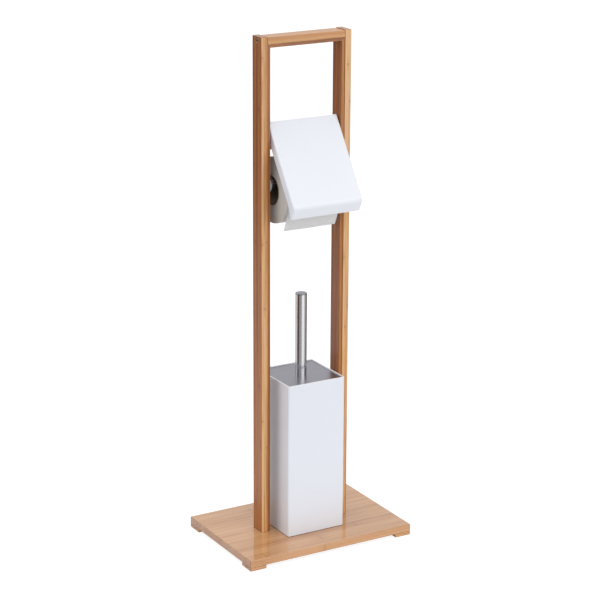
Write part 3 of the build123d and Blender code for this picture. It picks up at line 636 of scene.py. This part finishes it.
def cut_tissue(name, colour, axis_z_mm):
    """Rings: a noise of the distance from the roll's axis, roughened by fuzz."""
    material, tree = blank_material(name)
    where = place_in_mm(tree)
    _, y, z = add_node(tree, SEPARATE, [where])
    z = add_node(tree, MATH, (z, axis_z_mm), operation="SUBTRACT")[0]
    from_axis = add_node(tree, COMBINE, (0.0, y, z))[0]
    radius = add_node(tree, VECTOR_MATH, [from_axis], operation="LENGTH")["Value"]
    radius = add_node(tree, COMBINE, (radius, 0.0, 0.0))[0]
    layers = {"Vector": radius, "Scale": 1 / RING_MM, "Detail": 4.0, "Roughness": 0.7}
    rings = add_node(tree, NOISE, layers)[0]
    fuzz = add_node(tree, NOISE, {"Vector": where, "Scale": 1 / FUZZ_MM, "Detail": 4.0})[0]
    height = add_node(tree, MATH, (fuzz, 0.6, rings), operation="MULTIPLY_ADD")[0]
    raised = add_node(tree, RANGE, (rings, 0.35, 0.65, 0, 1), **SMOOTH)[0]
    shade = darker(colour, 0.72, 0.70, 0.66)
    finish = {
        "Base Color": add_node(tree, MIX, {0: raised, 6: shade, 7: colour}, **COLOURS)[2],
        "Roughness": 0.95,
        "Specular IOR Level": 0.2,
        "Normal": add_node(tree, BUMP, {"Height": height, "Distance": 0.35 * MM})[0],
    }
    add_node(tree, OUTPUT, {"Surface": add_node(tree, PRINCIPLED, finish)[0]})
    return material


def grey_board(name, colour):
    """Matt board: one rough noise makes its darker fibres and its relief."""
    material, tree = blank_material(name)
    fibres = {"Vector": place_in_mm(tree), "Scale": 1 / FLECK_MM, "Detail": 5.0, "Roughness": 0.7}
    flecks = add_node(tree, NOISE, fibres)[0]
    pale = add_node(tree, RANGE, (flecks, 0.3, 0.7, 0, 1), **SMOOTH)[0]
    finish = {
        "Base Color": add_node(tree, MIX, {0: pale, 6: darker(colour, 0.7), 7: colour}, **COLOURS)[2],
        "Roughness": 0.9,
        "Normal": add_node(tree, BUMP, {"Height": flecks, "Distance": 0.08 * MM})[0],
    }
    add_node(tree, OUTPUT, {"Surface": add_node(tree, PRINCIPLED, finish)[0]})
    return material


board_core = grey_board("Wound grey board, core", linear("8E7C68"))
print("Rings:", RING_MM, "mm apart")

# %% [markdown]
# ## Finishes on the CAD pieces
#
# The CAD solids already have the right shapes, so they are kept and only
# dressed. Their curved faces come as flat triangles. Shading them smooth
# hides that, and an edge sharper than 28 degrees stays an edge.

# %% Dress the CAD pieces

CREASE = math.radians(28)

pieces_of = {
    bamboo_board: "base_board foot_front_left foot_front_right foot_back_left foot_back_right",
    bamboo_post: "left_post right_post",
    bamboo_liner: "left_liner right_liner",
    bamboo_rail: "top_rail",
    bamboo_top_liner: "top_liner",
    bamboo_bar: "cross_bar",
    bamboo_dowel: "bar_dowels",
    zinc: "foot_screws base_screws rail_screws hinge_pins lid_nut",
    nylon: "hinge_washers handle_insert",
    coat_cover: "cover",
    coat_canister: "canister lid_seat",
    steel_lid: "lid",
    steel_handle: "handle_tube",
    steel_cap: "handle_cap",
    steel_stem: "brush_stem",
    steel_spindle: "spindle_sleeve spindle_plunger",
    plastic_grey: "spindle_end_left spindle_end_right spring_seat",
    plastic_white: "inner_cup brush_hub",
    board_core: "roll_core",
}
for material, names in pieces_of.items():
    for name in names.split():
        mesh = nodes[name].data
        mesh.materials.clear()
        mesh.materials.append(material)
        mesh.polygons.foreach_set("use_smooth", [True] * len(mesh.polygons))
        mesh.set_sharp_from_angle(angle=CREASE)
print("CAD pieces dressed:", sum(len(names.split()) for names in pieces_of.values()))

# %% [markdown]
# ## Meshes from grids
#
# Paper, sheet and spring are surfaces of two parameters. Their points could
# be placed one by one in a loop, but a formula over a whole numpy array is
# shorter and faster. What is left is to join neighbours into four-sided
# faces, the same way for every grid, so one function does it.

# %% Grid helper


def mesh_object(name, points, faces, material):
    """A smooth mesh object from points in metres and lists of their numbers."""
    mesh = bpy.data.meshes.new(name)
    mesh.from_pydata(np.reshape(points, (-1, 3)).tolist(), [], faces)
    mesh.materials.append(material)
    mesh.polygons.foreach_set("use_smooth", [True] * len(mesh.polygons))
    mesh.update()
    thing = bpy.data.objects.new(name, mesh)
    bpy.context.scene.collection.objects.link(thing)
    return thing


def grid_object(name, points, material, wrap=False, capped=False, closed=False):
    """Mesh object from points of shape (rows, columns, 3), in metres.

    wrap joins the last row to the first, and capped then closes that tube's
    two ends. closed joins the last column to the first. Faces look along the
    cross product of the row step and the column step.
    """
    rows, columns = points.shape[:2]
    index = np.arange(rows * columns).reshape(rows, columns)
    if wrap:
        index = np.vstack([index, index[:1]])
    if closed:
        index = np.hstack([index, index[:, :1]])
    quads = np.stack([index[:-1, :-1], index[1:, :-1], index[1:, 1:], index[:-1, 1:]], axis=-1)
    faces = quads.reshape(-1, 4).tolist()
    if capped:
        faces += [index[:rows, 0][::-1].tolist(), index[:rows, -1].tolist()]
    return mesh_object(name, points, faces, material)


print("A grid of 3 by 3 points has", 2 * 2, "faces")

# %% [markdown]
# ## Paper roll
#
# The roll is a long sheet wound on a core. Winding it as a true spiral
# would take a grid of hundreds of turns that nobody sees. It is a profile
# turned about the roll's axis: in along one end, where each few layers
# stand a little in or out of line, across the outside, and out again. The
# outside is never quite round, because the log was pressed in its pack.

# %% Roll profile

roll_low, roll_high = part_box("paper_roll")
core_low, core_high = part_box("roll_core")
roll_z = (roll_low[2] + roll_high[2]) / 2
roll_r = (roll_high[2] - roll_low[2]) / 2
core_r = (core_high[2] - core_low[2]) / 2
LAYER_STEP = 0.55 * MM
LAYER_PLAY = 0.28 * MM
OUTSIDE_STEPS = 40


def layered_profile():
    """Rows of (x, r): along one end, across the outside, along the other end.

    Each layer group is set back by 0.15 mm plus a seeded share of the play.
    The outer corners are soft because single sheets stand there.
    """
    radii = np.arange(core_r + 0.1 * MM, roll_r - 0.5 * MM, LAYER_STEP)
    inset = rng.uniform(0.0, 1.0, len(radii)) * LAYER_PLAY + 0.15 * MM
    left = np.column_stack([roll_low[0] + inset, radii])
    inset = rng.uniform(0.0, 1.0, len(radii)) * LAYER_PLAY + 0.15 * MM
    right = np.column_stack([roll_high[0] - inset, radii])[::-1]
    span = np.linspace(roll_low[0] + 0.5 * MM, roll_high[0] - 0.5 * MM, OUTSIDE_STEPS)
    outside = np.column_stack([span, np.full(OUTSIDE_STEPS, roll_r - 0.12 * MM)])
    outside[[0, -1], 1] -= 0.25 * MM
    return np.vstack([left, outside, right])


profile = layered_profile()
print("Profile points:", len(profile))

# %% Paper roll

AROUND = 240
turn = np.linspace(0, 2 * math.pi, AROUND, endpoint=False)
wobble = 0.10 * MM * np.sin(2 * turn + 0.7) + 0.06 * MM * np.sin(5 * turn)
outwards = (profile[:, 1] - core_r) / (roll_r - core_r)
r = profile[:, 1] + wobble[:, None] * outwards - 0.16 * MM * outwards
x = np.broadcast_to(profile[:, 0], r.shape)
roll_points = np.stack([x, -r * np.cos(turn)[:, None], roll_z + r * np.sin(turn)[:, None]], axis=-1)
roll = grid_object("paper_roll_layers", roll_points[::-1], tissue_roll, wrap=True, closed=True)

# Material 1, the cut tissue, goes on the end faces and in the bore.
roll.data.materials.append(cut_tissue("Cut tissue, roll's ends", linear("E0DCD6"), roll_z / MM))
end_points = (len(profile) - OUTSIDE_STEPS) // 2
is_cut = np.zeros(r.shape, dtype=int)
is_cut[:, :end_points] = 1
is_cut[:, -end_points - 1 :] = 1
roll.data.polygons.foreach_set("material_index", is_cut.ravel())
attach(roll, "roll")
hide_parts("paper_roll")
print("Roll:", len(roll.data.polygons), "faces")

# %% [markdown]
# ## Loose sheet
#
# One sheet hangs from the roll and keeps some of its curl. A cloth
# simulation would drape it, but tissue as short as this hangs by its curl
# more than by its weight. So the side view is two arcs, one on the roll and
# one hanging, tangent where they meet. Soft waves grow towards the free
# end, and that end is torn along the perforation.

# %% Side view of the loose sheet

tail_low, tail_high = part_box("paper_tail")
START_TURN = math.radians(22)
tail_r = roll_r + 0.42 * MM
tail_depth = tail_high[1] - tail_low[1] - 0.4 * MM
tail_drop = roll_z - tail_low[2]
curl_r = (tail_drop**2 + tail_depth**2) / (2 * tail_depth)


def tail_path(count_wrap=14, count_hang=60):
    """Side view (y, z) from where the sheet leaves the roll to the torn edge.

    An arc on the roll, then an arc of the sheet's own curl, tangent to it:
    its radius is (drop squared plus depth squared) over twice the depth.
    """
    wrap = np.linspace(START_TURN, 0, count_wrap, endpoint=False)
    on_roll = np.column_stack([-tail_r * np.cos(wrap), roll_z + tail_r * np.sin(wrap)])
    bend = np.linspace(0, math.asin(tail_drop / curl_r), count_hang)
    hang = np.column_stack([-tail_r + curl_r * (1 - np.cos(bend)), roll_z - curl_r * np.sin(bend)])
    return np.vstack([on_roll, hang])


path = tail_path()

# %% Loose sheet

SHEET_THICK = 0.22 * MM
WAVE = 0.5 * MM
TOOTH = 2.2 * MM

across = np.linspace(tail_low[0] + 0.15 * MM, tail_high[0] - 0.15 * MM, 181)
sheet_width = float(across[-1] - across[0])
u = (across - across[0]) / sheet_width
v = np.linspace(0, 1, len(path))
loose = np.clip((v - 0.35) / 0.65, 0, 1) ** 2
yy = path[:, 0] + WAVE * np.sin(2 * math.pi * (1.3 * u + 0.15))[:, None] * loose - WAVE * loose
zz = np.broadcast_to(path[:, 1], yy.shape).copy()
# The torn edge: short teeth between the cuts of the perforation.
teeth = 0.35 * MM * np.abs(np.sin(math.pi * across / TOOTH))
teeth += 0.15 * MM * rng.uniform(-1, 1, len(across))
zz[:, -1] += teeth + 0.1 * MM
xx = np.broadcast_to(across[:, None], yy.shape)
tail = grid_object("paper_tail_sheet", np.stack([xx, yy, zz], axis=-1), tissue_sheet_painted_lighter)
thick = tail.modifiers.new("Thickness", "SOLIDIFY")
thick.thickness = SHEET_THICK
thick.offset = 0
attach(tail, "stand")
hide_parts("paper_tail")
print(f"Torn edge: {sheet_width / TOOTH:.0f} teeth")

# %% [markdown]
# ## Spindle spring
#
# A steel wire wound on a mandrel pushes the spindle's two tubes apart. A
# curve with a bevel would draw it in three lines. But the coil has to close
# up when the sliding end is pushed in, and only a mesh can be blended
# between two bodies. So the wire is a small ring of points, carried along a
# helix.

# %% Spindle spring

spring_low, spring_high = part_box("spindle_spring")
WIRE_R = 0.5 * MM
COILS = 8
STEPS_A_TURN = 36
WIRE_SIDES = 8
spring_r = (spring_high[2] - spring_low[2]) / 2 - WIRE_R
spring_z = (spring_low[2] + spring_high[2]) / 2
coil = np.linspace(0, 2 * math.pi * COILS, STEPS_A_TURN * COILS + 1)
spring_x = np.linspace(spring_low[0] + WIRE_R, spring_high[0] - WIRE_R, len(coil))
around_wire = (np.arange(WIRE_SIDES) * 2 * math.pi / WIRE_SIDES)[:, None]
# x runs along the spindle, and the wire's ring lies in the plane of x and the radius.
x = spring_x + WIRE_R * np.sin(around_wire)
from_axis = spring_r + WIRE_R * np.cos(around_wire)
wire = np.stack([x, from_axis * np.cos(coil), spring_z + from_axis * np.sin(coil)], axis=-1)
spring = grid_object("spindle_coil", wire[::-1], zinc, wrap=True, capped=True)
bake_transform(spring)
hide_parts("spindle_spring")
print("Spring:", COILS, "turns,", round(2 * spring_r / MM, 1), "mm across")

# %% [markdown]
# ## Brush bristles
#
# Tufts of nylon strands are stapled into the hub in rows. Hair particles
# could draw them, but the export drops particles. So each strand is a
# three-sided rod along a slightly bent line, thin enough that its sides
# don't show, and all strands are one array. A real strand is 0.2 to 0.3 mm
# thick, and these are about twice that, so that fewer of them fill the
# head. The head keeps the CAD outline: straight sides and a domed end.

# %% Where the strands run

head_low, head_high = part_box("bristles")
hub_low, hub_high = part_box("brush_hub")
head_r = (head_high[0] - head_low[0]) / 2
hub_r = (hub_high[0] - hub_low[0]) / 2
DOME = 16 * MM
ROWS = 17
TUFTS = 22
STRANDS = 6
STEPS = 5


def head_radius(z):
    """Radius at height z: the head's own, and below the dome's height a quarter circle."""
    up = np.clip((z - head_low[2]) / DOME, 0, 1)
    return head_r - DOME * (1 - np.sqrt(1 - (1 - up) ** 2))


row, tuft, _ = np.meshgrid(np.arange(ROWS), np.arange(TUFTS), np.arange(STRANDS), indexing="ij")
row, tuft = row.ravel(), tuft.ravel()
count = row.size
heading = 2 * math.pi * (tuft + 0.5 * (row % 2)) / TUFTS + rng.normal(0, 0.055, count)
root_z = hub_low[2] + 3 * MM + row * (head_high[2] - hub_low[2] - 6 * MM) / (ROWS - 1)
fan = (root_z - (head_low[2] + head_high[2]) / 2) / (head_high[2] - head_low[2])
tip_z = root_z + fan * 9 * MM + rng.normal(0, 1.3, count) * MM
tip_z = np.clip(tip_z, head_low[2] + 0.4 * MM, head_high[2] - 0.4 * MM)
reach = head_radius(tip_z) - rng.uniform(0.4, 1.8, count) * MM
t = np.linspace(0, 1, STEPS)
r_line = hub_r - 0.6 * MM + (reach[:, None] - hub_r) * t
z_line = root_z[:, None] + (tip_z - root_z)[:, None] * t**1.4
bend = heading[:, None] + rng.normal(0, 0.05, count)[:, None] * t**2
centre = np.stack([r_line * np.cos(bend), r_line * np.sin(bend), z_line], axis=-1)
print("Strands:", count)

# %% Rods along the strands

STRAND = 0.28 * MM
corner = np.arange(3)
ring = corner * 2 * math.pi / 3
sideways = np.stack([-np.sin(heading), np.cos(heading), np.zeros(count)], axis=-1)[:, None, None, :]
upwards = np.array([0.0, 0.0, 1.0])
thickness = (STRAND * (1 - 0.35 * t))[:, None, None]
rods = centre[:, :, None, :] + thickness * np.cos(ring)[:, None] * sideways
rods = rods + thickness * np.sin(ring)[:, None] * upwards

number = np.arange(count * STEPS * 3).reshape(count, STEPS, 3)
turned = np.roll(number, -1, axis=2)
sides = np.stack([number[:, :-1], turned[:, :-1], turned[:, 1:], number[:, 1:]], axis=-1)
faces = [*sides.reshape(-1, 4).tolist(), *number[:, 0, ::-1].tolist(), *number[:, -1].tolist()]
bristles = mesh_object("bristle_strands", rods, faces, nylon_strand)
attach(bristles, "brush")
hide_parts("bristles")
print("Bristles:", len(faces), "faces")

# %% [markdown]
# ## Floor
#
# The object stands on white paper. Upright steel seen from above mirrors
# the floor, and in an empty white room it would look like grey paint. A
# photographer lays light and dark cards round the object, out of view, to
# draw its edges. So the floor has such cards by compass angle. Only
# reflections and bounced light see them: the camera sees plain white. Its
# tones are reflectances, as a light meter gives them.

# %% Compass round the object

LIGHT_PATH = "ShaderNodeLightPath"
STRAIGHT_ON = 0.5


def compass_share(tree, x, y):
    """0 to 1 by compass angle: half a turn plus atan2(x, -y), and 0.5 is the front."""
    forwards = add_node(tree, MATH, (y, -1.0), operation="MULTIPLY")[0]
    angle = add_node(tree, MATH, (x, forwards), operation="ARCTAN2")[0]
    turns = (angle, 1 / (2 * math.pi), STRAIGHT_ON)
    return add_node(tree, MATH, turns, operation="MULTIPLY_ADD")[0]


def by_compass(levels, blue=1.0):
    """Ramp stops from (degrees, level) pairs, where -90 is the object's left."""
    return [(degrees / 360 + STRAIGHT_ON, (level, level, level * blue, 1)) for degrees, level in levels]


print("Front at", STRAIGHT_ON, "and left at", by_compass([(-90, 0)])[0][0])

# %% Floor paper and cards

FLOOR_HALF = 6.0
FLOOR_Z = -0.1 * MM
NEAR_PAPER = (0.86, 0.86, 0.87, 1)
FAR_ROOM = (0.14, 0.14, 0.15, 1)
SEEN_PAPER = (0.28, 0.28, 0.28, 1)
SEEN_GLOW = 0.87
CARDS = [
    (-180, 0.80), (-140, 0.86), (-102, 0.64), (-91, 0.05), (-73, 0.05), (-62, 0.36), (-24, 0.38),
    (-7, 0.68), (26, 0.68), (42, 0.54), (66, 0.46), (84, 0.07), (122, 0.08), (150, 0.60),
]

floor_paper, tree = blank_material("White background paper")
where = place_in_mm(tree)
x, y, _ = add_node(tree, SEPARATE, [where])
from_middle = add_node(tree, VECTOR_MATH, [where], operation="LENGTH")["Value"]
compass = compass_share(tree, x, y)
ray = add_node(tree, LIGHT_PATH)
cards = add_node(tree, RAMP, [compass], stops=by_compass(CARDS))[0]
in_cards = add_node(tree, RANGE, (from_middle, 520, 820, 0, 1), **SMOOTH)[0]
tone = add_node(tree, MIX, {0: in_cards, 6: NEAR_PAPER, 7: cards}, **COLOURS)[2]
far = add_node(tree, RANGE, (from_middle, 1300, 2500, 0, 1), **SMOOTH)[0]
tone = add_node(tree, MIX, {0: far, 6: tone, 7: FAR_ROOM}, **COLOURS)[2]
tone = add_node(tree, MIX, {0: ray["Is Camera Ray"], 6: tone, 7: SEEN_PAPER}, **COLOURS)[2]

# A bright card 12 degrees right of the front, which only reflections see.
off_card = add_node(tree, MATH, (compass, STRAIGHT_ON + 12 / 360), operation="SUBTRACT")[0]
off_card = add_node(tree, MATH, [off_card], operation="ABSOLUTE")[0]
on_card = add_node(tree, RANGE, (off_card, 0.075, 0.055, 0, 1), **SMOOTH)[0]
on_card = add_node(tree, MATH, (on_card, in_cards), operation="MULTIPLY")[0]
on_card = add_node(tree, MATH, (on_card, ray["Is Glossy Ray"]), operation="MULTIPLY")[0]
on_card = add_node(tree, MATH, (on_card, 0.35), operation="MULTIPLY")[0]
glow = add_node(tree, MATH, (ray["Is Camera Ray"], SEEN_GLOW, on_card), operation="MULTIPLY_ADD")[0]
finish = {
    "Base Color": tone,
    "Roughness": 0.9,
    "Specular IOR Level": 0.1,
    "Emission Color": (1, 1, 1, 1),
    "Emission Strength": glow,
}
add_node(tree, OUTPUT, {"Surface": add_node(tree, PRINCIPLED, finish)[0]})

corners = [(x * FLOOR_HALF, y * FLOOR_HALF, FLOOR_Z) for x, y in ((-1, -1), (1, -1), (1, 1), (-1, 1))]
floor = mesh_object("floor", corners, [(0, 1, 2, 3)], floor_paper)
print("Floor:", 2 * FLOOR_HALF, "m wide, with", len(CARDS), "cards")

# %% [markdown]
# ## Surroundings
#
# The room is a ring of walls in soft tones. An image of a studio could
# light the scene, but the script reads no image. A ramp by compass angle
# gives what matters: bright paper behind on the left, and darker gaps that
# draw the edges of steel and lacquer. The camera sees white instead.

# %% Surroundings

WALLS = [
    (-180, 0.60), (-160, 0.80), (-125, 1.05), (-102, 0.60), (-88, 0.42), (-74, 0.50), (-50, 0.75),
    (0, 0.62), (46, 0.50), (64, 0.36), (110, 0.38), (138, 0.76), (162, 0.76), (180, 0.60),
]

world = bpy.data.worlds.new("Studio")
bpy.context.scene.world = world
world.use_nodes = True
tree = world.node_tree
tree.nodes.clear()
direction = add_node(tree, "ShaderNodeTexCoord")["Generated"]
x, y, _ = add_node(tree, SEPARATE, [direction])
walls = add_node(tree, RAMP, [compass_share(tree, x, y)], stops=by_compass(WALLS, blue=1.03))[0]
lit = add_node(tree, "ShaderNodeBackground", {"Color": walls, "Strength": 1.0})[0]
white = add_node(tree, "ShaderNodeBackground", {"Color": (1, 1, 1, 1), "Strength": 1.0})[0]
seen = add_node(tree, LIGHT_PATH)["Is Camera Ray"]
shown = add_node(tree, "ShaderNodeMixShader", (seen, lit, white))[0]
add_node(tree, "ShaderNodeOutputWorld", {"Surface": shown})
print("Wall tones:", len(WALLS))

# %% [markdown]
# ## Lights
#
# Softboxes are large lamps behind cloth, and their size makes the shadows
# soft. The photo has faint shadows all round and a broad highlight on the
# front. So the key stands low in front, a weak fill stands at the left, and
# a wide one hangs above.

# %% Softboxes


def away_from(azimuth, elevation):
    """Unit vector to a compass angle and a height angle, in degrees, from the object."""
    a, e = math.radians(azimuth), math.radians(elevation)
    return Vector((math.sin(a) * math.cos(e), -math.cos(a) * math.cos(e), math.sin(e)))


def softbox(name, azimuth, elevation, distance, size, watts, target=(0, 0, 0.4)):
    """Rectangular soft light at a distance from target, and aimed at it."""
    away = away_from(azimuth, elevation)
    data = bpy.data.lights.new(name, "AREA")
    data.shape = "RECTANGLE"
    data.size, data.size_y = size
    data.energy = watts
    lamp = bpy.data.objects.new(name, data)
    lamp.location = Vector(target) + away * distance
    lamp.rotation_euler = away.to_track_quat("Z", "Y").to_euler()
    bpy.context.scene.collection.objects.link(lamp)
    return lamp


softbox("Key, front", 14, 12, 2.2, (2.2, 1.8), 21, (0, 0, 0.33))
softbox("Fill, left", -105, 10, 2.4, (1.2, 1.4), 8, (0, 0, 0.25))
softbox("Top", 0, 88, 2.4, (1.8, 1.8), 20)
print("Softboxes:", len(bpy.data.lights))

# %% [markdown]
# ## Camera
#
# The photo was taken through a long lens from the front left, a little
# above. Its place could be tried by eye. It was worked out from the edges
# of board, posts and canister in the photo instead, together with their
# lengths, so the numbers here are that fit's.

# %% Camera

AZIMUTH = -30.212
ELEVATION = 17.101
ROLL = math.radians(0.264)
CAMERA_PLACE = Vector((-1.5375, -2.6370, 1.3068 + board_high[2]))

back = away_from(AZIMUTH, ELEVATION)
right = (-back).cross(Vector((0, 0, 1))).normalized()
up = right.cross(-back)
right_rolled = math.cos(ROLL) * right + math.sin(ROLL) * up
up_rolled = -math.sin(ROLL) * right + math.cos(ROLL) * up
camera_data = bpy.data.cameras.new("Camera")
camera_data.lens = 124.13
camera_data.sensor_width = 36.0
camera = bpy.data.objects.new("Camera", camera_data)
axes = Matrix((right_rolled, up_rolled, back)).transposed()
camera.matrix_world = Matrix.Translation(CAMERA_PLACE) @ axes.to_4x4()
bpy.context.scene.collection.objects.link(camera)
bpy.context.scene.camera = camera
bpy.context.scene.view_settings.view_transform = "Standard"
print("Camera:", round(CAMERA_PLACE.length, 2), "m from the middle of the floor")
